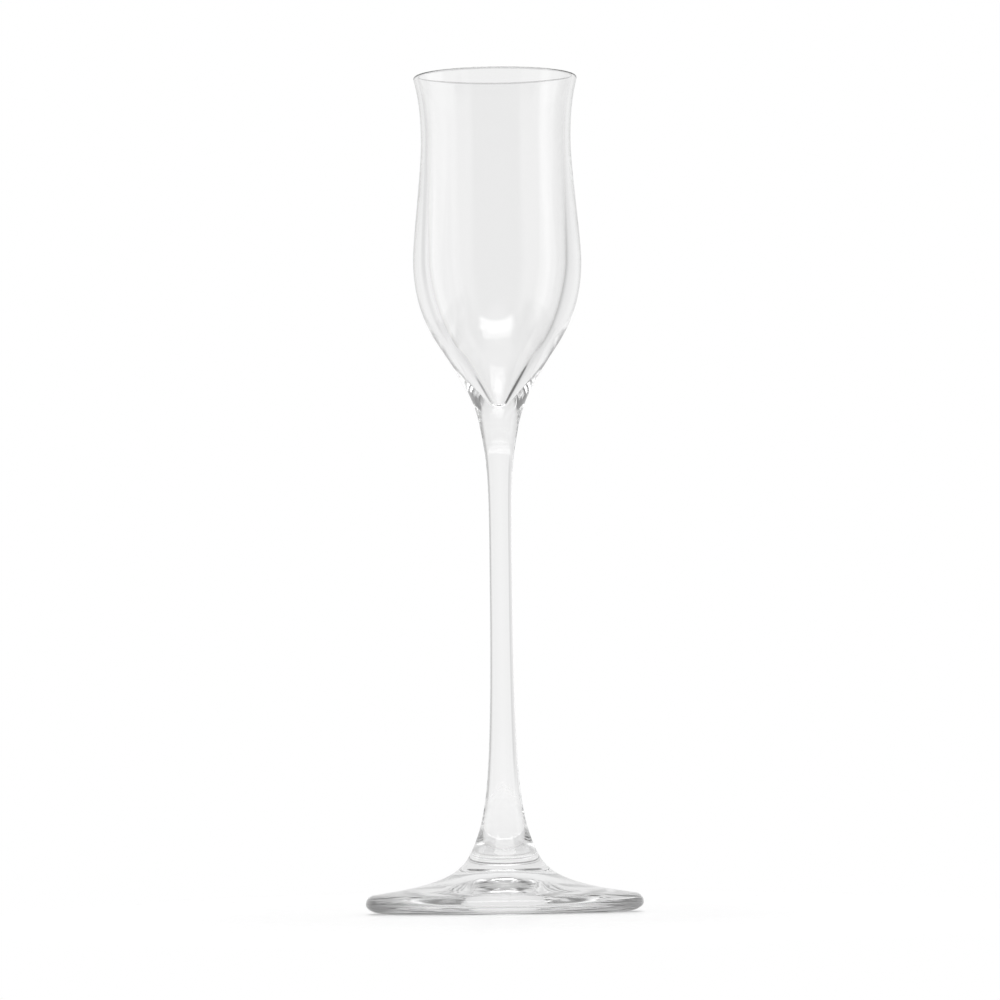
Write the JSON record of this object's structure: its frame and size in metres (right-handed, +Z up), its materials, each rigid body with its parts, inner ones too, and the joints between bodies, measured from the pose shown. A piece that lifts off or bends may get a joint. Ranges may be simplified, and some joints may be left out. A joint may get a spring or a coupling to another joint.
{
  "type": "spirits glass",
  "caption": "Clear stemmed spirits glass: tulip bowl with a flared lip, waist and full belly, long thin drawn stem and a round trumpet-shaped foot",
  "frame": {"origin": "On the glass's own axis, in the plane of the standing ring under the foot", "axes": "+Z runs up the axis from the foot to the lip; X and Y are level, and the glass looks the same all round"},
  "size_m": [0.0662, 0.0662, 0.2],
  "materials": {
    "bowl_glass": "clear, fire-polished",
    "stem_glass": "clear, drawn and fire-polished",
    "foot_glass": "clear, spun and fire-polished"
  },
  "bodies": {
    "root": {"bowl": "bowl_glass", "stem": "stem_glass", "foot": "foot_glass"}
  },
  "joints": []
}
